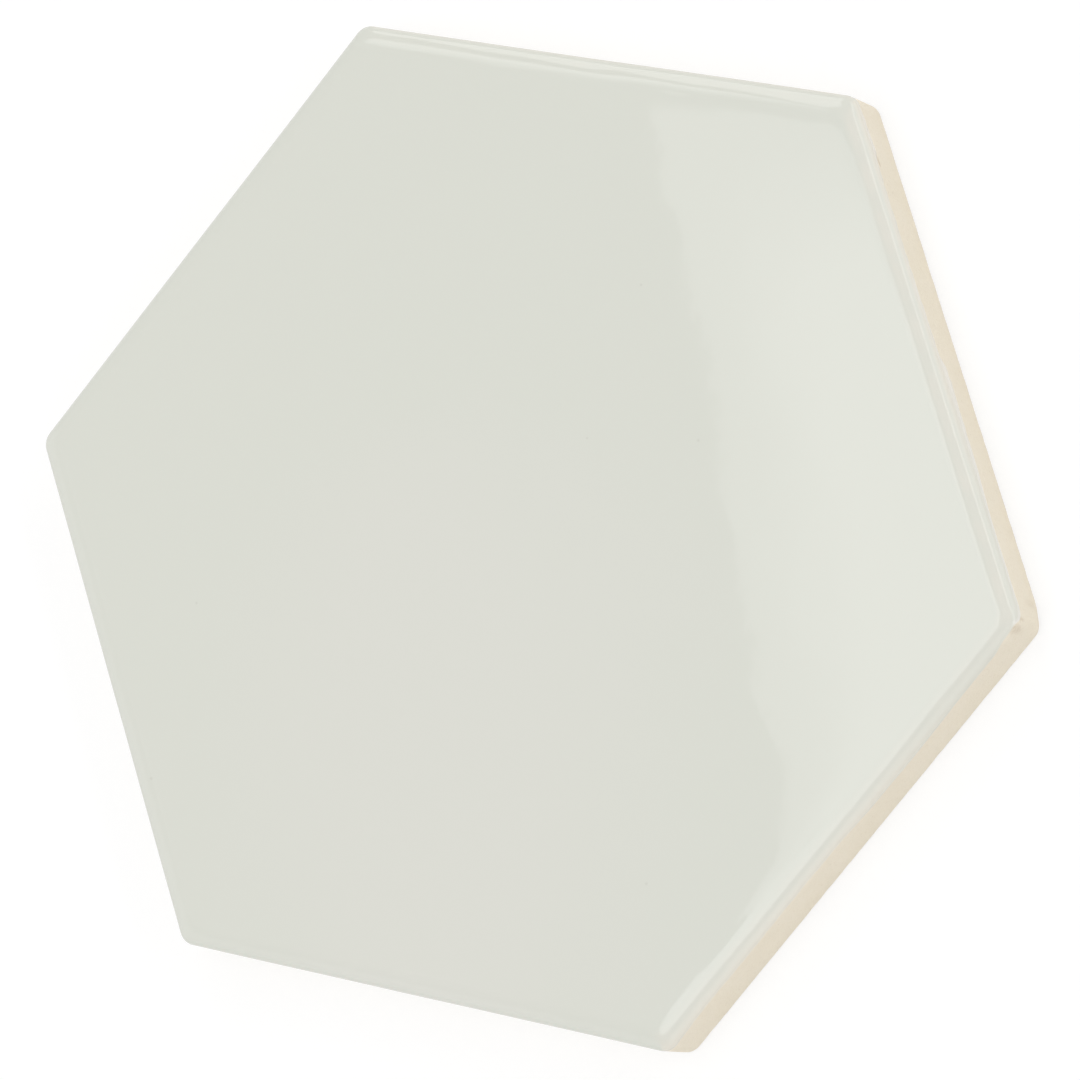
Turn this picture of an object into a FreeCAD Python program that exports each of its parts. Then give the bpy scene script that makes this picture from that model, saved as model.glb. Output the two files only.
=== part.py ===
# A hexagonal ceramic floor tile: one dry-pressed body, glazed on its face and fired in one piece.
# It lies glazed face up, with its back on z = 0 and its centre on the Z axis.
# +X runs through a corner and +Y square through the middle of a side.
import FreeCAD, Part
import math
import os

# Sizes in millimetres
ACROSS_FLATS = 107.4  # between opposite side walls
THICKNESS = 8.3  # from the back to the flat of the face
CORNER_RADIUS = 2.0  # the six upright corners of the walls
RIM_WIDTH = 2.6  # how far in from the wall the face begins to round over
RIM_DROP = 1.5  # how far down the wall that rounding ends
FACE_CORNER_RADIUS = 3.4  # the six corners of the flat of the face
FOOT_BEVEL = 0.4  # lower edge of the walls, across and up
KEY_DEPTH = 0.6  # bedding grooves pressed into the back
KEY_GROOVE_WIDTH = 6.5
KEY_RIB_WIDTH = 5.0  # land left between two grooves
KEY_BORDER = 7.0  # plain band left all round the back
KEY_DRAFT = 0.35  # how much narrower each side of a groove is at its floor

# Shape of a regular hexagon
SIDES = 6
TURN = 2 * math.pi / SIDES  # from one corner to the next
HALF_TURN = TURN / 2


def at(radius, angle, z):
    """The point at a radius and an angle about the Z axis."""
    return FreeCAD.Vector(radius * math.cos(angle), radius * math.sin(angle), z)


def corner_reach(apothem):
    """How far out a sharp corner lies on a hexagon whose sides lie at this distance."""
    return apothem / math.cos(HALF_TURN)


def corner_points(corner, inset, radius, z):
    """Where one corner's arc starts, passes, ends, and where its two sides would meet."""
    apothem = ACROSS_FLATS / 2 - inset
    angle = corner * TURN
    centre = at(corner_reach(apothem - radius), angle, z)
    start, middle, end = (
        centre + at(radius, angle + swing, 0) for swing in (-HALF_TURN, 0, HALF_TURN)
    )
    return start, middle, end, at(corner_reach(apothem), angle, z)


def outline(inset, radius, z):
    """The tile's outline at one level, drawn in from the walls: arcs joined by straight sides."""
    edges = []
    for corner in range(SIDES):
        start, middle, end, _ = corner_points(corner, inset, radius, z)
        next_start = corner_points(corner + 1, inset, radius, z)[0]
        edges.append(Part.Arc(start, middle, end).toShape())
        edges.append(Part.LineSegment(end, next_start).toShape())
    return Part.Wire(edges)


def rim_surface(rows, weights_along):
    """A face that leaves the wall upright and turns in level with the flat, as a quarter ellipse."""
    weights_up = (1, math.cos(math.pi / 4), 1)
    weights = [[up * along for along in weights_along] for up in weights_up]
    degree_up = len(weights_up) - 1
    degree_along = len(weights_along) - 1
    surface = Part.BSplineSurface()
    surface.buildFromPolesMultsKnots(
        rows,
        [degree_up + 1] * 2,
        [degree_along + 1] * 2,
        [0, 1],
        [0, 1],
        False,
        False,
        degree_up,
        degree_along,
        weights,
    )
    return surface.toShape()


def rim_faces():
    """The rounded shoulder that the glaze runs over, one face for each corner and each side."""
    levels = (
        (0, CORNER_RADIUS, THICKNESS - RIM_DROP),
        (0, CORNER_RADIUS, THICKNESS),
        (RIM_WIDTH, FACE_CORNER_RADIUS, THICKNESS),
    )
    faces = []
    for corner in range(SIDES):
        corner_rows = []
        side_rows = []
        for level in levels:
            start, _, end, meeting = corner_points(corner, *level)
            corner_rows.append([start, meeting, end])
            side_rows.append([end, corner_points(corner + 1, *level)[0]])
        faces.append(rim_surface(corner_rows, (1, math.cos(HALF_TURN), 1)))
        faces.append(rim_surface(side_rows, (1, 1)))
    return faces


def body():
    """The pressed body before its back is grooved."""
    back = outline(FOOT_BEVEL, CORNER_RADIUS, 0)
    wall_foot = outline(0, CORNER_RADIUS, FOOT_BEVEL)
    flat = outline(RIM_WIDTH, FACE_CORNER_RADIUS, THICKNESS)
    wall_height = THICKNESS - RIM_DROP - FOOT_BEVEL
    foot = Part.makeLoft([back, wall_foot], False, True)
    walls = wall_foot.extrude(FreeCAD.Vector(0, 0, wall_height))
    skin = Part.Shell([Part.Face(back), *foot.Faces, *walls.Faces, *rim_faces(), Part.Face(flat)])
    skin.sewShape()
    return Part.Solid(skin)


def key_outline(y_low, y_high, border, z):
    """A strip across the back between two values of Y, cut off along the border inside the walls."""
    reach = corner_reach(ACROSS_FLATS / 2 - border)
    slope = math.tan(HALF_TURN)
    right = [(reach - abs(y_low) * slope, y_low)]
    if y_low < 0 < y_high:
        right.append((reach, 0))
    right.append((reach - abs(y_high) * slope, y_high))
    left = [(-x, y) for x, y in reversed(right)]
    points = [FreeCAD.Vector(x, y, z) for x, y in right + left]
    return Part.makePolygon(points + points[:1])


def key_grooves():
    """Shallow parallel grooves with sloping sides, which give the bedding adhesive its grip."""
    room = ACROSS_FLATS - 2 * KEY_BORDER
    pitch = KEY_GROOVE_WIDTH + KEY_RIB_WIDTH
    count = int((room + KEY_RIB_WIDTH) // pitch)
    grooves = []
    for index in range(count):
        middle = (index - (count - 1) / 2) * pitch
        half_mouth = KEY_GROOVE_WIDTH / 2
        half_floor = half_mouth - KEY_DRAFT
        mouth = key_outline(middle - half_mouth, middle + half_mouth, KEY_BORDER, 0)
        floor = key_outline(middle - half_floor, middle + half_floor, KEY_BORDER + KEY_DRAFT, KEY_DEPTH)
        grooves.append(Part.makeLoft([mouth, floor], True, True))
    return grooves


def main():
    tile = body().cut(key_grooves())
    os.makedirs("parts", exist_ok=True)
    tile.exportStep("parts/hexagon_tile.step")
    box = tile.optimalBoundingBox()
    print("solids", len(tile.Solids), "valid", tile.isValid(), "faces", len(tile.Faces))
    print("size mm", round(box.XLength, 3), round(box.YLength, 3), round(box.ZLength, 3))
    print("volume cm3", round(tile.Volume / 1000, 3))


main()
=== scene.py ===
import math

import bmesh
import bpy
from mathutils import Matrix, Vector, noise
from mathutils.geometry import delaunay_2d_cdt


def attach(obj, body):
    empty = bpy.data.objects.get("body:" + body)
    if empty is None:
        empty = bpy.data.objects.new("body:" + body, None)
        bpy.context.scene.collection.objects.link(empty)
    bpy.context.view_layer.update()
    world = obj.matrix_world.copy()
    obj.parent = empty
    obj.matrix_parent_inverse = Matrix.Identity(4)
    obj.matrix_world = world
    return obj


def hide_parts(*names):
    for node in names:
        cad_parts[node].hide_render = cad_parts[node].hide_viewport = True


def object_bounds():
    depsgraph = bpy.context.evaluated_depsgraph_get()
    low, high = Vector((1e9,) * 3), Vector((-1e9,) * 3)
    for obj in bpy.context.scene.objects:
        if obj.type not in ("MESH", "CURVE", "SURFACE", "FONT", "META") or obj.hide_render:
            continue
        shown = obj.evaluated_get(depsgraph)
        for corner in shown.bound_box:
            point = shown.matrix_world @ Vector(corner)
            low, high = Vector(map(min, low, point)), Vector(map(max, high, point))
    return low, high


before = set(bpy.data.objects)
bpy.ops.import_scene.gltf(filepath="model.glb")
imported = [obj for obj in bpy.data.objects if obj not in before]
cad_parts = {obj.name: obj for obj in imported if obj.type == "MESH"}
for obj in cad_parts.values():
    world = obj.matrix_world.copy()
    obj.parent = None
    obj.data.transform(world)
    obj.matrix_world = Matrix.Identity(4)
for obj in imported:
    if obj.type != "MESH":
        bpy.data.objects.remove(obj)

# Every length is in metres unless its comment says otherwise. The frame has its origin in the middle of
# the tile's back, +Z up through the glazed face, +X through a corner and +Y square through the middle
# of a side.
MM = 0.001
NODE = "hexagon_tile"
cad_low, cad_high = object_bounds()

# The body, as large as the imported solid
APOTHEM = cad_high.y
THICKNESS = cad_high.z
CORNER_RADIUS = 2.0 * MM
RIM_WIDTH = 2.6 * MM
RIM_DROP = 1.5 * MM
FACE_CORNER_RADIUS = 3.4 * MM
FOOT_BEVEL = 0.4 * MM
KEY_DEPTH = 0.6 * MM
KEY_GROOVE_WIDTH = 6.5 * MM
KEY_RIB_WIDTH = 5.0 * MM
KEY_BORDER = 7.0 * MM
KEY_DRAFT = 0.35 * MM  # how much each wall of a groove leans in towards its floor
KEY_LIP = 0.15 * MM  # rounding where a groove meets the back
SHARP_ANGLE = math.radians(32)  # faces that meet more steeply keep a sharp edge

SIDES = 6
TURN = 2 * math.pi / SIDES
HALF_TURN = TURN / 2
UPRIGHT = math.radians(90)

# How finely the surface is divided
CORNER_STEPS = 6  # over half of a corner
SIDE_STEPS = 110
RIM_ROWS = 28
WALL_ROWS = 20
FOOT_ROWS = 4
INSIDE_OUTLINES = 1  # the kind of triangulation that the back asks for
SAME_PLACE = 1e-7  # corners of the back that are nearer than this would be one

# The glazing of the side that faces each azimuth in degrees: how high its lower line lies above the
# back, how thin it runs over the crest, from 0 to 1, how far the line is frayed, how unevenly the
# glaze lies on the rim, and how far in from the wall the warm tint of its edge reaches
GLAZING = {
    30: (5.8 * MM, 1.0, 0.50 * MM, 0.05 * MM, 0.5 * MM),
    90: (6.9 * MM, 0.3, 0.10 * MM, 0.08 * MM, 0.6 * MM),
    150: (6.6 * MM, 0.0, 0.10 * MM, 0.04 * MM, 0.1 * MM),
    210: (6.5 * MM, 0.0, 0.10 * MM, 0.04 * MM, 0.1 * MM),
    270: (6.7 * MM, 0.0, 0.10 * MM, 0.04 * MM, 0.1 * MM),
    330: (7.0 * MM, 0.6, 0.12 * MM, 0.05 * MM, 1.1 * MM),
}
FACE_TINTED = 0.1 * MM  # the last of these values for the face and the back, where no tint shows
# On the two sides that meet in the corner on +X the line rises and falls. Each pair says where along Y
# and how high above the back it lies, in millimetres
LINE_COURSE = (
    (-53.7, 6.6), (-48.0, 7.1), (-27.0, 7.1), (-22.0, 6.6), (-15.0, 6.5), (-8.0, 6.9), (-4.5, 6.95),
    (-2.2, 7.35), (-0.6, 7.4), (0.6, 6.8), (1.6, 6.5), (9.0, 6.55), (17.0, 5.6), (25.6, 5.3),
    (27.2, 6.4), (33.0, 6.8), (46.5, 6.75), (48.2, 6.1), (53.7, 6.4),
)
COURSE_START = (28.5 * MM, 31 * MM)  # where along X the course begins to count, and counts fully
LINE_WANDER = (0.10 * MM, 7 * MM)
LINE_WOBBLE = (0.06 * MM, 1.9 * MM)
GLAZE_FILM = 0.02 * MM  # how far the glaze stands proud of the bare wall
FILM_REACH = (-0.4 * MM, 0.8 * MM)  # how high above the line the film begins, and is full
GLAZE_BEAD = 0.004 * MM  # the thicker lip along the line
BEAD_HEIGHT = 0.25 * MM  # above the line
BEAD_WIDTH = 0.2 * MM
GRAIN_FADE = 0.8 * MM  # how far below the line the grain of the bare wall is at its full height
WAVE_FADE = 2 * MM  # how far below the line the waves of the glaze have died away

# Relief of the fired surface: how high, and how long a wave is
SLOW_WAVE = (0.012 * MM, 18 * MM)
QUICK_WAVE = (0.0055 * MM, 6 * MM)
BISCUIT_WAVE = (0.014 * MM, 1.3 * MM)
RIM_WAVE_LENGTH = 10 * MM
RIM_WAVE_MIDDLE = 1.0 * MM  # how far in from the wall the rim's waves are highest
RIM_WAVE_REACH = 1.2 * MM
CROWN_SLOPE = 0.016  # how steeply the glaze falls away where the flat meets the rim
CROWN_REACH = 1.6 * MM  # how fast that slope dies away further in

# At one corner and on one side the glaze has slumped over the rim: place, reach and depth
SLUMPS = (
    (Vector((30.5, 51.5, 8.3)) * MM, 7 * MM, 0.10 * MM),
    (Vector((0.6, 53.2, 8.3)) * MM, 3 * MM, 0.05 * MM),
)
SLUMP_WIDTH = 2.2 * MM

# The lower edge is rubbed and slightly crumbled: how deep the crumbs are, and how long
FOOT_WEAR = (0.045 * MM, 1.0 * MM)
FOOT_WEAR_LEVEL = 0.25 * FOOT_WEAR[0]  # only the waves that rise above this are left whole
FOOT_WEAR_HEIGHT = 1.1 * MM

# Chips and dents, and one drip that stands out and so has a depth below 0: place, reach and depth
DENTS = (
    (Vector((61.7, 0.3, 6.4)) * MM, 0.40 * MM, 0.16 * MM),
    (Vector((61.3, -0.9, 6.6)) * MM, 0.60 * MM, 0.07 * MM),
    (Vector((61.5, 0.6, 0.2)) * MM, 1.10 * MM, 0.25 * MM),
    (Vector((33.6, 48.8, 7.7)) * MM, 1.50 * MM, -0.05 * MM),
)


def direction(angle):
    """A level unit vector."""
    return Vector((math.cos(angle), math.sin(angle), 0))


def smooth_step(value, low, high):
    """0 below low, 1 above high, and an even curve between them."""
    share = min(1.0, max(0.0, (value - low) / (high - low)))
    return share * share * (3 - 2 * share)


def hump(distance, reach):
    """1 at no distance, falling to nothing over about twice the reach."""
    return math.exp(-((distance / reach) ** 2))


def wave(place, size, seed=0.0):
    """Smooth uneven relief of a given height and wave length."""
    height, length = size
    return height * noise.noise(place / length + Vector((seed, 0.37 * seed, 0.71 * seed)))


class Station:
    """A place on the way round the tile. Its point moves evenly as the outline is inset or rounded."""

    def __init__(self, base, per_inset, per_radius, outward, glazing):
        self.base = base
        self.per_inset = per_inset
        self.per_radius = per_radius
        self.outward = outward
        self.glazing = glazing

    def point(self, inset, radius, z):
        level = self.base + inset * self.per_inset + radius * self.per_radius
        return Vector((level.x, level.y, z))

    def towards(self, other, share):
        """The station a share of the way to another one."""
        mine, theirs = vars(self), vars(other)
        mixed = {name: mine[name] + share * (theirs[name] - mine[name]) for name in mine}
        return Station(**mixed)


def corner_station(corner, swing):
    """A station on the arc round one corner, swung to either side of its middle."""
    angle = corner * TURN
    reach = direction(angle) / math.cos(HALF_TURN)
    outward = direction(angle + swing)
    azimuths = (round(math.degrees(angle + side)) % 360 for side in (-HALF_TURN, HALF_TURN))
    before, after = (Vector(GLAZING[azimuth]) for azimuth in azimuths)
    glazing = before + (after - before) * smooth_step(swing, -HALF_TURN, 0)
    return Station(APOTHEM * reach, -reach, outward - reach, outward, glazing)


def round_the_tile():
    """Evenly spread stations, once round from the corner on +X, with corners set closer."""
    leaving_swings = [HALF_TURN * step / CORNER_STEPS for step in range(CORNER_STEPS + 1)]
    arriving_swings = [HALF_TURN * (step / CORNER_STEPS - 1) for step in range(CORNER_STEPS)]
    stations = []
    for corner in range(SIDES):
        leaving = [corner_station(corner, swing) for swing in leaving_swings]
        arriving = [corner_station(corner + 1, swing) for swing in arriving_swings]
        along = [leaving[-1].towards(arriving[0], step / SIDE_STEPS) for step in range(1, SIDE_STEPS)]
        stations += leaving + along + arriving
    return stations


STATIONS = round_the_tile()
RINGS = len(STATIONS) // SIDES


class Skin:
    """Collects the vertices and faces of the tile's surface, and what each vertex is made of."""

    MARKS = ("glaze_height", "inboard", "thin_glaze", "frayed", "tinted")

    def __init__(self):
        self.points = []
        self.faces = []
        self.marks = {name: [] for name in self.MARKS}

    def add(self, point, glaze_height, inboard, thin_glaze=0.0, frayed=0.0, tinted=FACE_TINTED):
        """Lengths are given in metres and stored in millimetres."""
        self.points.append(point)
        values = (glaze_height / MM, inboard / MM, thin_glaze, frayed / MM, tinted / MM)
        for name, value in zip(self.MARKS, values):
            self.marks[name].append(value)
        return len(self.points) - 1

    def strip(self, upper, lower):
        """Joins two closed rows of the same length."""
        count = len(upper)
        for here in range(count):
            after = (here + 1) % count
            self.faces.append((upper[here], lower[here], lower[after], upper[after]))

    def widening_strip(self, inner, outer):
        """Joins two closed rows with triangles, where each side of the outer row has one step more."""
        steps = len(outer) // SIDES
        for sextant in range(SIDES):
            for step in range(steps):
                near = inner[(sextant * (steps - 1) + step) % len(inner)]
                start = sextant * steps + step
                self.faces.append((outer[start], outer[(start + 1) % len(outer)], near))
                if step < steps - 1:
                    after = inner[(sextant * (steps - 1) + step + 1) % len(inner)]
                    self.faces.append((near, outer[start + 1], after))


def crown_drop(point, inboard):
    """How much lower the glaze lies near the rim than in the middle of the face."""
    beyond_rim = max(0, inboard - RIM_WIDTH)
    crown = CROWN_SLOPE * CROWN_REACH * math.exp(-beyond_rim / CROWN_REACH)
    slumps = (depth * hump((point - place).to_2d().length, reach) for place, reach, depth in SLUMPS)
    return crown + sum(slumps) * hump(inboard, SLUMP_WIDTH)


def glaze_relief(point, inboard, unevenness):
    """Slow waves over the whole face, and stronger ones along its rim, where the glaze gathers."""
    on_rim = hump(inboard - RIM_WAVE_MIDDLE, RIM_WAVE_REACH)
    return (
        wave(point, SLOW_WAVE, 3.1)
        + wave(point, QUICK_WAVE, 8.3)
        + on_rim * wave(point, (unevenness, RIM_WAVE_LENGTH), 5.7)
    )


def dent_depth(point):
    return sum(depth * hump((point - place).length, reach) for place, reach, depth in DENTS)


def lattice_row(skin, ring):
    """One closed ring of the face's flat, a smaller copy of its outline with as many steps to a side."""
    share = ring / RINGS
    inboard = APOTHEM - share * (APOTHEM - RIM_WIDTH)
    row = []
    for sextant in range(SIDES):
        for step in range(ring):
            number = step * RINGS / ring
            first = sextant * RINGS + int(number)
            station = STATIONS[first].towards(STATIONS[(first + 1) % len(STATIONS)], number % 1)
            _, _, _, unevenness, _ = station.glazing
            point = share * station.point(RIM_WIDTH, FACE_CORNER_RADIUS, 0)
            relief = glaze_relief(point, inboard, unevenness)
            point.z = THICKNESS
            point.z += relief - crown_drop(point, inboard) - dent_depth(point)
            row.append(skin.add(point, THICKNESS, inboard))
    return row


def face_lattice(skin):
    """The flat of the face, as rings round a point in its middle. Returns the outermost ring."""
    inner = [skin.add(Vector((0, 0, THICKNESS)), THICKNESS, APOTHEM)]
    for ring in range(1, RINGS + 1):
        outer = lattice_row(skin, ring)
        skin.widening_strip(inner, outer)
        inner = outer
    return inner


def profile_rows():
    """(inset, corner radius, height, tilt of the surface from level) down the rim, wall and foot."""
    rows = []
    for row in range(1, RIM_ROWS + 1):
        angle = UPRIGHT * (1 - row / RIM_ROWS)
        inset = RIM_WIDTH * (1 - math.cos(angle))
        radius = CORNER_RADIUS + (FACE_CORNER_RADIUS - CORNER_RADIUS) * inset / RIM_WIDTH
        tilt = math.atan2(RIM_DROP * math.cos(angle), RIM_WIDTH * math.sin(angle))
        rows.append((inset, radius, THICKNESS - RIM_DROP * (1 - math.sin(angle)), tilt))
    wall_top = THICKNESS - RIM_DROP
    for row in range(1, WALL_ROWS + 1):
        height = wall_top + (FOOT_BEVEL - wall_top) * row / WALL_ROWS
        rows.append((0, CORNER_RADIUS, height, UPRIGHT))
    for row in range(1, FOOT_ROWS + 1):
        angle = UPRIGHT * row / FOOT_ROWS
        inset = FOOT_BEVEL * (1 - math.cos(angle))
        rows.append((inset, CORNER_RADIUS, FOOT_BEVEL * (1 - math.sin(angle)), UPRIGHT + angle))
    return rows


def glaze_line(point, line):
    """How high above the back the glaze ends on a side whose line lies evenly at the given height."""
    for (start, low), (end, high) in zip(LINE_COURSE, LINE_COURSE[1:]):
        if start <= point.y / MM <= end:
            course = (low + (high - low) * smooth_step(point.y / MM, start, end)) * MM
            line += (course - line) * smooth_step(point.x, *COURSE_START)
    return line + wave(point, LINE_WANDER, 1.9) + wave(point, LINE_WOBBLE, 4.4)


def edge_relief(point, line, unevenness, inset, tilt):
    """How far the rim or wall stands out from the plain solid, and how high above the line it is."""
    height = point.z - glaze_line(point, line)
    upright = math.sin(tilt) ** 2
    film = GLAZE_FILM * smooth_step(height, *FILM_REACH)
    bead = GLAZE_BEAD * hump(height - BEAD_HEIGHT, BEAD_WIDTH)
    bare = (1 - smooth_step(height, -GRAIN_FADE, 0)) * wave(point, BISCUIT_WAVE, 2.2)
    near_foot = 1 - smooth_step(point.z, 0, FOOT_WEAR_HEIGHT)
    wear = near_foot * min(0, wave(point, FOOT_WEAR, 6.6) - FOOT_WEAR_LEVEL)
    relief = upright * (film + bead) + bare + wear - dent_depth(point)
    waves = glaze_relief(point, inset, unevenness)
    if tilt < UPRIGHT:
        relief += waves - math.cos(tilt) * crown_drop(point, inset)
    else:
        relief += (1 - smooth_step(-height, 0, WAVE_FADE)) * waves
    return relief, height


def edge_rows(skin, row_above):
    """The rim, wall and foot. Returns the lowest row, which bounds the back."""
    for inset, radius, z, tilt in profile_rows():
        row = []
        for station in STATIONS:
            point = station.point(inset, radius, z)
            line, thin, frayed, unevenness, tinted = station.glazing
            relief, height = edge_relief(point, line, unevenness, inset, tilt)
            normal = math.sin(tilt) * station.outward + math.cos(tilt) * Vector((0, 0, 1))
            moved = point + relief * normal
            moved.z = max(0, moved.z)
            row.append(skin.add(moved, height, inset, thin, frayed, tinted))
        skin.strip(row_above, row)
        row_above = row
    return row_above


def key_loops():
    """The grooves of the back, each as its border at z = 0 and the loops that lead in to its floor."""
    room = 2 * (APOTHEM - KEY_BORDER)
    pitch = KEY_GROOVE_WIDTH + KEY_RIB_WIDTH
    count = int((room + KEY_RIB_WIDTH) / pitch)
    levels = ((-KEY_LIP, 0), (0, KEY_LIP), (KEY_DRAFT, KEY_DEPTH))
    for index in range(count):
        middle = (index - (count - 1) / 2) * pitch
        loops = []
        for inset, z in levels:
            half = KEY_GROOVE_WIDTH / 2 - inset
            reach = (APOTHEM - KEY_BORDER - inset) / math.cos(HALF_TURN)
            low, high = middle - half, middle + half
            corners = []
            for end, y in ((1, low), (1, high), (-1, high), (-1, low)):
                corners.append(Vector((end * (reach - abs(y) * math.tan(HALF_TURN)), y, z)))
            loops.append(corners)
        yield loops


def back(skin, border):
    """The flat underside, cut round the grooves, and the grooves themselves."""
    indices = list(border)
    outlines = [list(range(len(border)))]
    for loops in key_loops():
        rows = [[skin.add(corner, -THICKNESS, APOTHEM) for corner in loop] for loop in loops]
        for upper, lower in zip(rows, rows[1:]):
            skin.strip(upper, lower)
        skin.faces.append(tuple(rows[-1]))
        outlines.append(list(range(len(indices), len(indices) + len(rows[0]))))
        indices += rows[0]
    flat = [skin.points[index].to_2d() for index in indices]
    _, _, triangles, _, _, origins = delaunay_2d_cdt(flat, [], outlines, INSIDE_OUTLINES, SAME_PLACE)
    for triangle, origin in zip(triangles, origins):
        if origin == [0]:
            skin.faces.append(tuple(indices[corner] for corner in reversed(triangle)))


def build_tile():
    """The whole fired tile as one closed mesh."""
    skin = Skin()
    lowest = edge_rows(skin, face_lattice(skin))
    back(skin, lowest)
    mesh = bpy.data.meshes.new("glazed_tile")
    mesh.from_pydata(skin.points, [], skin.faces)
    for name, values in skin.marks.items():
        mesh.attributes.new(name, "FLOAT", "POINT").data.foreach_set("value", values)
    sheet = bmesh.new()
    sheet.from_mesh(mesh)
    bmesh.ops.recalc_face_normals(sheet, faces=sheet.faces)
    sheet.to_mesh(mesh)
    sheet.free()
    mesh.shade_smooth()
    mesh.set_sharp_from_angle(angle=SHARP_ANGLE)
    tile = bpy.data.objects.new("glazed_tile", mesh)
    bpy.context.collection.objects.link(tile)
    return tile


class Nodes:
    """Short forms for building a node tree."""

    def __init__(self, tree):
        self.tree = tree
        tree.nodes.clear()

    def add(self, kind, inputs=None, output=0, **settings):
        made = self.tree.nodes.new(kind)
        for name, value in settings.items():
            setattr(made, name, value)
        for key, value in (inputs or {}).items():
            if isinstance(value, bpy.types.NodeSocket):
                self.tree.links.new(value, made.inputs[key])
            else:
                made.inputs[key].default_value = value
        return made if output is None or not made.outputs else made.outputs[output]

    def math(self, operation, *values):
        return self.add("ShaderNodeMath", dict(enumerate(values)), operation=operation)

    def times(self, first, *others):
        for other in others:
            first = self.math("MULTIPLY", first, other)
        return first

    def noise(self, place, length, detail=2.0, offset=0.0):
        """Uneven grain between 0 and 1 whose spots are about one length apart."""
        moved = self.add("ShaderNodeVectorMath", {0: place, 1: (offset, offset, offset)}, operation="ADD")
        inputs = {"Vector": moved, "Scale": 1 / length, "Detail": detail, "Roughness": 0.55}
        return self.add("ShaderNodeTexNoise", inputs)

    def distance(self, first, second):
        inputs = {0: first, 1: second}
        return self.add("ShaderNodeVectorMath", inputs, output="Value", operation="DISTANCE")

    def ramp(self, value, low, high, start=0.0, end=1.0):
        """start below low, end above high, and an even curve between them."""
        inputs = {"Value": value, 1: low, 2: high, 3: start, 4: end}
        return self.add("ShaderNodeMapRange", inputs, interpolation_type="SMOOTHSTEP")

    def patches(self, place, length, start, end, offset, limits=(0.3, 0.7), detail=2.0):
        """Uneven patches about one length apart: start where the grain is low, end where it is high."""
        return self.ramp(self.noise(place, length, detail, offset), *limits, start, end)

    def mix(self, share, first, second):
        inputs = {0: share, 6: first, 7: second}
        return self.add("ShaderNodeMix", inputs, output=2, data_type="RGBA")

    def attribute(self, name):
        return self.add("ShaderNodeAttribute", output="Fac", attribute_name=name)

    def ray(self, kind):
        """1 for the rays of one kind, 0 for others."""
        return self.add("ShaderNodeLightPath", output=f"Is {kind} Ray")

    def mirrored(self):
        """1 for rays in mirrors and glass."""
        return self.math("MAXIMUM", self.ray("Glossy"), self.ray("Transmission"))

    def shown_as_background(self):
        """1 for rays from the camera and in mirrors and glass, 0 for the light that falls on things."""
        return self.math("MAXIMUM", self.ray("Camera"), self.mirrored())


# Linear colours of the fired surfaces
GLAZE = (0.711, 0.722, 0.652, 1)
# painted reflection: a warmer glaze colour that stands in for a broad reflection in the face
GLAZE_PAINTED_REFLECTION = (0.724, 0.725, 0.663, 1)
THIN_GLAZE = (0.759, 0.744, 0.667, 1)  # over the crest
EDGE_GLAZE = (0.810, 0.768, 0.675, 1)  # below the crest, near its lower line
# pale streaks of thin glaze, and near one corner a painted highlight along the bead
FRINGE_AND_BEAD_HIGHLIGHT = (0.870, 0.840, 0.790, 1)
BISCUIT = (0.868, 0.797, 0.663, 1)
BISCUIT_SHADE = (0.856, 0.782, 0.640, 1)
BISCUIT_GRAIN = (0.74, 0.64, 0.48, 1)
MARK = (0.45, 0.33, 0.20, 1)
SPECK = (0.30, 0.27, 0.20, 1)

GLAZE_ROUGHNESS = 0.02
BISCUIT_ROUGHNESS = 0.85
GLAZE_IOR = 1.5

# Pinholes of the face: where in the frame, and how wide the dark spot is
PINHOLES = (
    (Vector((10.4, 29.2, 8.3)) * MM, 0.40 * MM),
    (Vector((20.9, 13.2, 8.3)) * MM, 0.45 * MM),
    (Vector((7.5, 11.3, 8.3)) * MM, 0.35 * MM),
    (Vector((25.0, -36.0, 8.3)) * MM, 0.45 * MM),
    (Vector((-37.2, -15.2, 8.3)) * MM, 0.40 * MM),
    (Vector((-38.6, -36.0, 8.3)) * MM, 0.50 * MM),
)
PINHOLE_STRENGTH = 0.12
# A brown fleck caught at the glaze's lower line, from its faint upper end to its lower end
FLECK_ENDS = (Vector((34.2, 48.1, 6.6)) * MM, Vector((35.15, 46.5, 6.1)) * MM)
FLECK_BORDER = (0.03 * MM, 0.16 * MM)
FLECK_STRENGTH = (0.35, 0.15)  # at its lower end and at its upper end
# Brown smudges on the biscuit: place, reach and strength. They are drawn out up and down the wall
SMUDGES = (
    (Vector((60.9, 2.3, 2.4)) * MM, 0.80 * MM, 0.10),
    (Vector((61.25, -0.85, 7.1)) * MM, 0.85 * MM, 0.24),
    (Vector((61.7, 0.3, 6.4)) * MM, 0.32 * MM, 0.30),
)
SMUDGE_SQUEEZE = Vector((1, 1, 0.35))
# Between these places the glaze of the face is painted a little warmer, a painted reflection of the
# room's brighter side
PAINTED_REFLECTION_ENDS = (Vector((-12, -3, 8.3)) * MM, Vector((3, -50, 8.3)) * MM)
PAINTED_REFLECTION_REACH = 45 * MM

# Around this corner the glaze ends in a bead, and a painted highlight runs along it. Each pair says how
# far from the corner something begins to change, and has changed fully
BEADED_CORNER = Vector((61.9, 0.5, 7.0)) * MM
FRAY_RANGE = (12 * MM, 30 * MM)
BEAD_HIGHLIGHT_RANGE = (12 * MM, 26 * MM)
TINT_RANGE = (8 * MM, 30 * MM)
FRAY_STRENGTH = (0.3, 1.5)  # at that corner and away from it
TINT_STRENGTH = (0.4, 0.9)

# Where the finishes begin and end, in millimetres above the lower line of the glaze
GLAZE_START = (-0.10, 0.12)
GLOSS_START = (0.0, 0.25)
PORES_END = (-0.8, -0.3)
FRINGE_END = (0.15, 0.6)
# The same, in millimetres in from the wall
FRINGE_INNER_END = (0.2, 0.6)
CREST_START = (0.2, 0.8)
CREST_END = (1.2, 2.2)

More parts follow.
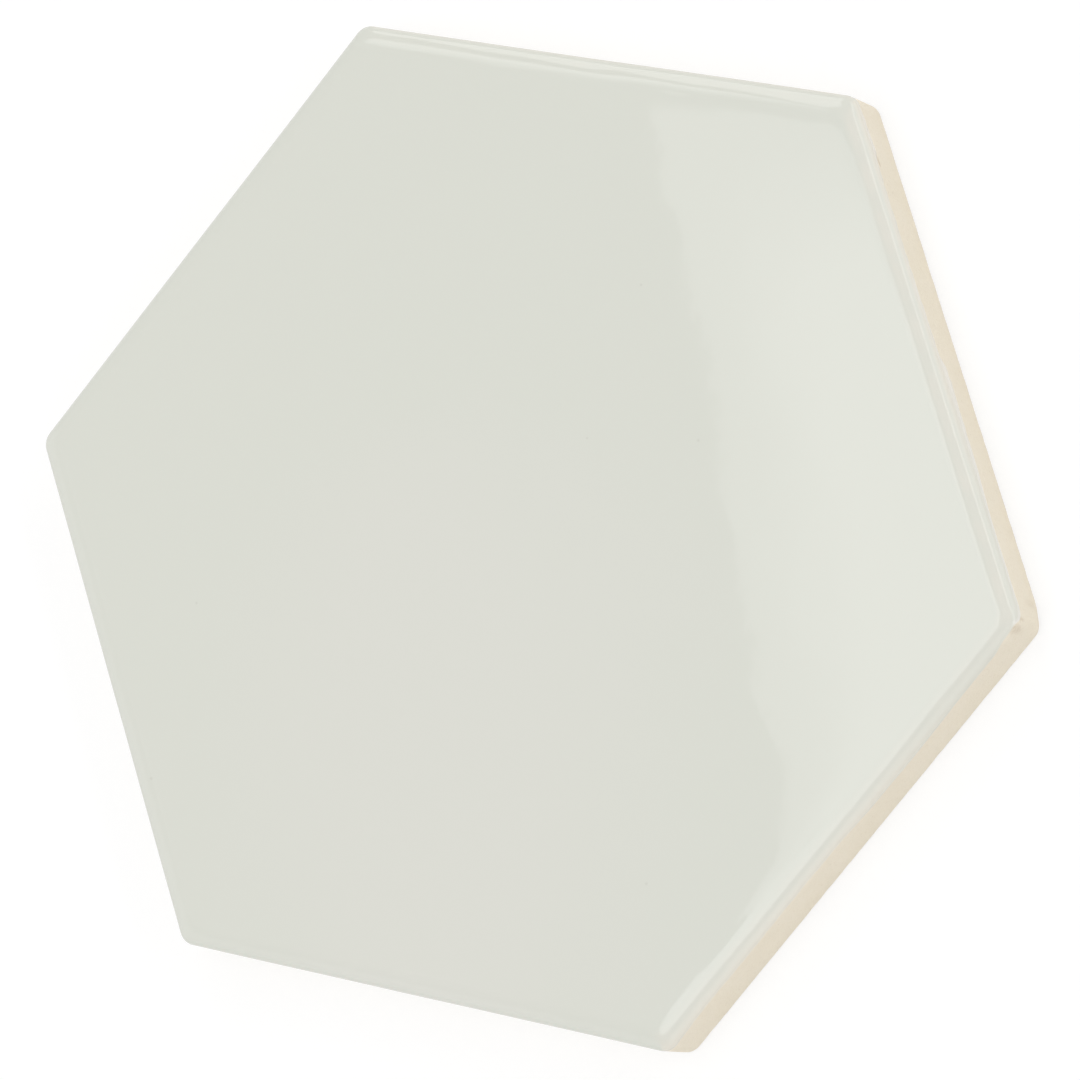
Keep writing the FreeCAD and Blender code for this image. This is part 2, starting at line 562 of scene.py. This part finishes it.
# How far apart the spots of each kind of patch or grain lie, and how deep the finest relief is
CLOUD_LENGTH = 24 * MM
CREST_LENGTH = 4 * MM
STREAK_LENGTH = 5 * MM
FRAY_LENGTH = 1.3 * MM
MOTTLE_LENGTH = 6 * MM
GRAIN_LENGTH = 0.30 * MM
SPECK_LENGTH = 0.36 * MM
PORE_LENGTH = 0.30 * MM
PORE_DEPTH = 0.05 * MM
RIPPLE_LENGTH = 1.8 * MM
RIPPLE_DEPTH = 0.002 * MM


def beyond_ends(n, place, ends):
    """How much longer the way between two places is through here than straight."""
    first, second = ends
    way = n.math("ADD", n.distance(place, first), n.distance(place, second))
    return n.math("SUBTRACT", way, (first - second).length)


def face_colour(n, place):
    """Sage glaze, painted a little warmer in one part of the face as a painted reflection, with a few
    faint pinholes.
    """
    cloud = n.patches(place, CLOUD_LENGTH, 0.7, 1.3, offset=1.3)
    from_painted_reflection = n.times(beyond_ends(n, place, PAINTED_REFLECTION_ENDS), cloud)
    colour = n.mix(n.ramp(from_painted_reflection, 0.0, PAINTED_REFLECTION_REACH, 1.0, 0.0), GLAZE, GLAZE_PAINTED_REFLECTION)
    for spot, width in PINHOLES:
        away = n.distance(place, spot)
        share = n.ramp(away, 0.1 * width, 0.6 * width, PINHOLE_STRENGTH, 0.0)
        colour = n.mix(share, colour, SPECK)
    return colour


def fringe_and_highlight_share(n, place, height, inboard, thin):
    """Pale streaks just above the line where the glaze is thinnest, joined at one corner by a painted
    highlight along the bead.
    """
    streak = n.patches(place, STREAK_LENGTH, 0.1, 0.7, offset=5.5, limits=(0.4, 0.65))
    # painted highlight: the bead's bright line near the corner, painted as pale colour
    bead_highlight = n.ramp(n.distance(place, BEADED_CORNER), *BEAD_HIGHLIGHT_RANGE, 1.0, 0.0)
    near_line = n.ramp(height, *FRINGE_END, 1.0, 0.0)
    near_wall = n.ramp(inboard, *FRINGE_INNER_END, 1.0, 0.0)
    thinnest = n.ramp(thin, 0.6, 1.0, 0.0, 0.8)
    return n.times(near_line, near_wall, n.math("MAXIMUM", streak, bead_highlight), thinnest)


def glaze_colour(n, place, height):
    """Warmer than the face where the glaze runs thin over the crest, and pale along its frayed line, with
    a painted highlight along the bead at one corner.
    """
    inboard = n.attribute("inboard")
    thin = n.attribute("thin_glaze")
    uneven = n.patches(place, CREST_LENGTH, 0.55, 1.0, offset=0.4)
    crest = n.times(n.ramp(inboard, *CREST_START), n.ramp(inboard, *CREST_END, 1.0, 0.0))
    colour = n.mix(n.times(crest, thin, uneven), face_colour(n, place), THIN_GLAZE)
    edge = n.times(n.ramp(inboard, 0.0, n.attribute("tinted"), 1.0, 0.0), n.ramp(thin, 0.0, 0.6))
    tint = n.ramp(n.distance(place, BEADED_CORNER), *TINT_RANGE, *TINT_STRENGTH)
    colour = n.mix(n.times(edge, tint), colour, EDGE_GLAZE)
    return n.mix(fringe_and_highlight_share(n, place, height, inboard, thin), colour, FRINGE_AND_BEAD_HIGHLIGHT)


def biscuit_colour(n, place):
    """Cream pressed clay with fine grains, a few dark specks and brown smudges."""
    mottle = n.patches(place, MOTTLE_LENGTH, 0.0, 1.0, offset=4.1, detail=3.0)
    colour = n.mix(mottle, BISCUIT_SHADE, BISCUIT)
    grain = n.noise(place, GRAIN_LENGTH, offset=2.7)
    colour = n.mix(n.ramp(grain, 0.45, 0.75, 0.0, 0.2), colour, BISCUIT_GRAIN)
    specks = n.patches(place, SPECK_LENGTH, 0.0, 0.2, offset=7.9, limits=(0.79, 0.87), detail=0.0)
    colour = n.mix(specks, colour, MARK)
    ragged = n.ramp(grain, 0.35, 0.65, 0.7, 1.3)
    squeezed = n.add("ShaderNodeVectorMath", {0: place, 1: SMUDGE_SQUEEZE}, operation="MULTIPLY")
    for spot, reach, strength in SMUDGES:
        away = n.times(n.distance(squeezed, spot * SMUDGE_SQUEEZE), ragged)
        share = n.times(n.ramp(away, 0.4 * reach, reach, strength, 0.0), ragged)
        colour = n.mix(share, colour, MARK)
    return colour


def fleck_share(n, place):
    """The brown fleck, fainter towards its upper end."""
    upper, lower = FLECK_ENDS
    darkness = n.ramp(n.distance(place, lower), 0.0, (upper - lower).length, *FLECK_STRENGTH)
    return n.times(n.ramp(beyond_ends(n, place, FLECK_ENDS), *FLECK_BORDER, 1.0, 0.0), darkness)


def fine_relief(n, place, height, glazed):
    """Pores in the biscuit and a slight ripple in the glaze."""
    pores = n.noise(place, PORE_LENGTH, detail=4.0, offset=6.2)
    bare = n.ramp(height, *PORES_END, 1.0, 0.0)
    normal = n.add("ShaderNodeBump", {"Strength": bare, "Distance": PORE_DEPTH, "Height": pores})
    ripple = n.noise(place, RIPPLE_LENGTH, detail=1.0, offset=3.3)
    inputs = {"Strength": glazed, "Distance": RIPPLE_DEPTH, "Height": ripple, "Normal": normal}
    return n.add("ShaderNodeBump", inputs)


def ceramic_material():
    """One finish for the whole tile: glossy glaze above its line, bare biscuit below it."""
    material = bpy.data.materials.new("glazed_ceramic")
    material.use_nodes = True
    n = Nodes(material.node_tree)
    place = n.add("ShaderNodeTexCoord", output="Object")

    fray = n.math("SUBTRACT", n.noise(place, FRAY_LENGTH, detail=1.0), 0.5)
    fraying = n.ramp(n.distance(place, BEADED_CORNER), *FRAY_RANGE, *FRAY_STRENGTH)
    frayed = n.times(fray, n.attribute("frayed"), fraying)
    height = n.math("ADD", n.attribute("glaze_height"), frayed)

    glazed = n.ramp(height, *GLAZE_START)
    colour = n.mix(glazed, biscuit_colour(n, place), glaze_colour(n, place, height))
    inputs = {
        "Base Color": n.mix(fleck_share(n, place), colour, MARK),
        "Roughness": n.ramp(height, *GLOSS_START, BISCUIT_ROUGHNESS, GLAZE_ROUGHNESS),
        "Normal": fine_relief(n, place, height, glazed),
        "IOR": GLAZE_IOR,
    }
    n.add("ShaderNodeOutputMaterial", {"Surface": n.add("ShaderNodeBsdfPrincipled", inputs)})
    return material


WHITE = (1, 1, 1, 1)
ROOM_LIGHT = 0.563  # the flat light of the room, without any lamp

# The soft box overhead is two lamps that lie one over the other, with the same near end and width.
# Radiance is what a mirror shows of a lamp
BOX_ACROSS = direction(math.radians(22.3))
BOX_ALONG = direction(math.radians(112.3))
BOX_MIDDLE = -0.1167  # across
BOX_HALF_WIDTH = 0.206
BOX_NEAR_END = -0.43
BOX_RADIANCE = 0.875  # of each of the two
# For each: how high it lies, where it ends, and over what distance each of its borders dims
SOFT_BOXES = {
    "key_box": (0.9, 0.303, (0.0005, 0.005, 0.02, 0.008)),
    "key_glow": (0.905, 0.283, (0.036, 0.005, 0.02, 0.06)),
}

# Panels that face the tile: azimuth, elevation, width and height in degrees, radiance, and over what
# distance each border dims
PANEL_DISTANCE = 1.3
SOFT_BORDERS = (0.03, 0.03, 0.03, 0.03)
PANELS = {
    "back_panel": (112, 31, 16, 40, 1.55, (0.005, 0.005, 0.03, 0.005)),
    "high_panel": (140.4, 54, 15.2, 20, 1.6, (0.005, 0.08, 0.01, 0.3)),
    "side_panel": (45, 15, 46, 34, 0.7, SOFT_BORDERS),
    "side_line": (33, 38, 84, 9, 2.1, (0.03, 0.03, 0.02, 0.02)),
    "corner_panel": (317, 28, 40, 40, 0.58, SOFT_BORDERS),
    "front_panel": (225, 22, 110, 44, 0.42, SOFT_BORDERS),
}


def dim_borders(tree, width, height, fades):
    """Lets a lamp's light fall off at its borders: the start and end of its width, then of its height."""
    n = Nodes(tree)
    place = n.add("ShaderNodeNewGeometry", output="Parametric")
    axes = n.add("ShaderNodeSeparateXYZ", {0: place}, output=None)
    ramps = []
    for axis, size, fades_here in (("X", width, fades[:2]), ("Y", height, fades[2:])):
        from_start = axes.outputs[axis]
        from_end = n.math("SUBTRACT", 1.0, from_start)
        for share, fade in zip((from_start, from_end), fades_here):
            ramps.append(n.ramp(share, 0.0, fade / size))
    strength = n.times(*ramps)
    n.add("ShaderNodeOutputLight", {0: n.add("ShaderNodeEmission", {"Strength": strength})})


def lamp(name, centre, across, along, radiance, fades):
    """A rectangular lamp, given half of each side as a vector. It shines away from across x along."""
    data = bpy.data.lights.new(name, "AREA")
    data.shape = "RECTANGLE"
    data.size = 2 * across.length
    data.size_y = 2 * along.length
    data.energy = math.pi * data.size * data.size_y * radiance
    data.use_nodes = True
    dim_borders(data.node_tree, data.size, data.size_y, fades)
    light = bpy.data.objects.new(name, data)
    bpy.context.collection.objects.link(light)
    right, upward = across.normalized(), along.normalized()
    turned = Matrix((right, upward, right.cross(upward))).transposed()
    light.matrix_world = Matrix.Translation(centre) @ turned.to_4x4()
    light.visible_camera = False


def facing_lamp(name, azimuth, elevation, width, height, radiance, fades):
    """A lamp that faces the tile. The azimuth, elevation, width and height are in degrees."""
    turn, rise = math.radians(azimuth), math.radians(elevation)
    towards = math.cos(rise) * direction(turn) + Vector((0, 0, math.sin(rise)))
    across = direction(turn + UPRIGHT)
    half_width = PANEL_DISTANCE * math.tan(math.radians(width / 2))
    half_height = PANEL_DISTANCE * math.tan(math.radians(height / 2))
    upward = half_height * towards.cross(across)
    lamp(name, PANEL_DISTANCE * towards, half_width * across, upward, radiance, fades)


def build_lamps():
    """A soft box overhead, and panels behind the far side, to the right and in front."""
    for name, (height, far_end, fades) in SOFT_BOXES.items():
        middle = (BOX_NEAR_END + far_end) / 2
        half_length = (far_end - BOX_NEAR_END) / 2
        centre = BOX_MIDDLE * BOX_ACROSS + middle * BOX_ALONG + Vector((0, 0, height))
        lamp(name, centre, BOX_HALF_WIDTH * BOX_ACROSS, half_length * BOX_ALONG, BOX_RADIANCE, fades)
    for name, panel in PANELS.items():
        facing_lamp(name, *panel)


def build_world():
    """An even room that shows white behind the tile and in its gloss."""
    world = bpy.data.worlds.new("room")
    bpy.context.scene.world = world
    world.use_nodes = True
    n = Nodes(world.node_tree)
    strength = n.ramp(n.shown_as_background(), 0.0, 1.0, ROOM_LIGHT, 1.0)
    background = n.add("ShaderNodeBackground", {"Color": WHITE, "Strength": strength})
    n.add("ShaderNodeOutputWorld", {"Surface": background})


FLOOR_HALF = 4.0
FLOOR_LEVEL = -0.05 * MM
FLOOR_GLOW = 0.68  # what the floor shows without any light on it
FLOOR_SHADOW = (0.35, 0.35, 0.35, 1)  # how much of the light on it shows, and so how dark a shadow is
FLOOR_BOUNCE = (0.9, 0.9, 0.9, 1)


def floor_material():
    """White to the eye with a faint shadow, pale grey for the light it throws back, clear from below."""
    material = bpy.data.materials.new("white_floor")
    material.use_nodes = True
    n = Nodes(material.node_tree)
    bounce = n.add("ShaderNodeBsdfDiffuse", {"Color": FLOOR_BOUNCE})
    shadow = n.add("ShaderNodeBsdfDiffuse", {"Color": FLOOR_SHADOW})
    glow = n.add("ShaderNodeEmission", {"Color": WHITE, "Strength": FLOOR_GLOW})
    shown = n.add("ShaderNodeAddShader", {0: shadow, 1: glow})
    seen = n.add("ShaderNodeMixShader", {0: n.ray("Camera"), 1: bounce, 2: shown})
    white = n.add("ShaderNodeEmission", {"Color": WHITE, "Strength": 1.0})
    above = n.add("ShaderNodeMixShader", {0: n.mirrored(), 1: seen, 2: white})
    from_below = n.add("ShaderNodeNewGeometry", output="Backfacing")
    clear = n.add("ShaderNodeBsdfTransparent")
    surface = n.add("ShaderNodeMixShader", {0: from_below, 1: above, 2: clear})
    n.add("ShaderNodeOutputMaterial", {"Surface": surface})
    return material


def build_floor():
    """A white floor just under the tile that keeps a faint shadow."""
    signs = ((-1, -1), (1, -1), (1, 1), (-1, 1))
    corners = [Vector((x * FLOOR_HALF, y * FLOOR_HALF, FLOOR_LEVEL)) for x, y in signs]
    mesh = bpy.data.meshes.new("floor")
    mesh.from_pydata(corners, [], [range(len(corners))])
    mesh.materials.append(floor_material())
    floor = bpy.data.objects.new("floor", mesh)
    bpy.context.collection.objects.link(floor)


# The camera looks down on the tile from its +X side. It was measured from the outline, at one height
CAMERA_DISTANCE = 0.6507
CAMERA_TILT = math.radians(25.78)  # from upright
CAMERA_AZIMUTH = math.radians(-2.84)
CAMERA_LEVEL = THICKNESS - 1.1 * MM
CAMERA_AIM = Vector((3.67 * MM, -0.83 * MM, CAMERA_LEVEL))
PICTURE_UP = math.radians(90 + 12.21)  # azimuth that points up in the picture
CAMERA_LENS = 192.9  # in millimetres, like the width of the sensor
CAMERA_SENSOR = 36.0
CAMERA_CLIP = (0.05, 20.0)


def build_camera():
    data = bpy.data.cameras.new("camera")
    data.lens = CAMERA_LENS
    data.sensor_width = CAMERA_SENSOR
    data.clip_start, data.clip_end = CAMERA_CLIP
    camera = bpy.data.objects.new("camera", data)
    bpy.context.collection.objects.link(camera)
    bpy.context.scene.camera = camera
    rise = math.cos(CAMERA_TILT) * Vector((0, 0, 1)) + math.sin(CAMERA_TILT) * direction(CAMERA_AZIMUTH)
    place = Vector((0, 0, CAMERA_LEVEL)) + CAMERA_DISTANCE * rise
    behind = (place - CAMERA_AIM).normalized()
    right = direction(PICTURE_UP).cross(behind).normalized()
    axes = Matrix((right, behind.cross(right), behind)).transposed()
    camera.matrix_world = Matrix.Translation(place) @ axes.to_4x4()


def main():
    build_camera()
    tile = build_tile()
    tile.data.materials.append(ceramic_material())
    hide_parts(NODE)
    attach(tile, "root")
    build_floor()
    build_world()
    build_lamps()
    bpy.context.scene.view_settings.view_transform = "Standard"
    bpy.context.view_layer.update()


main()
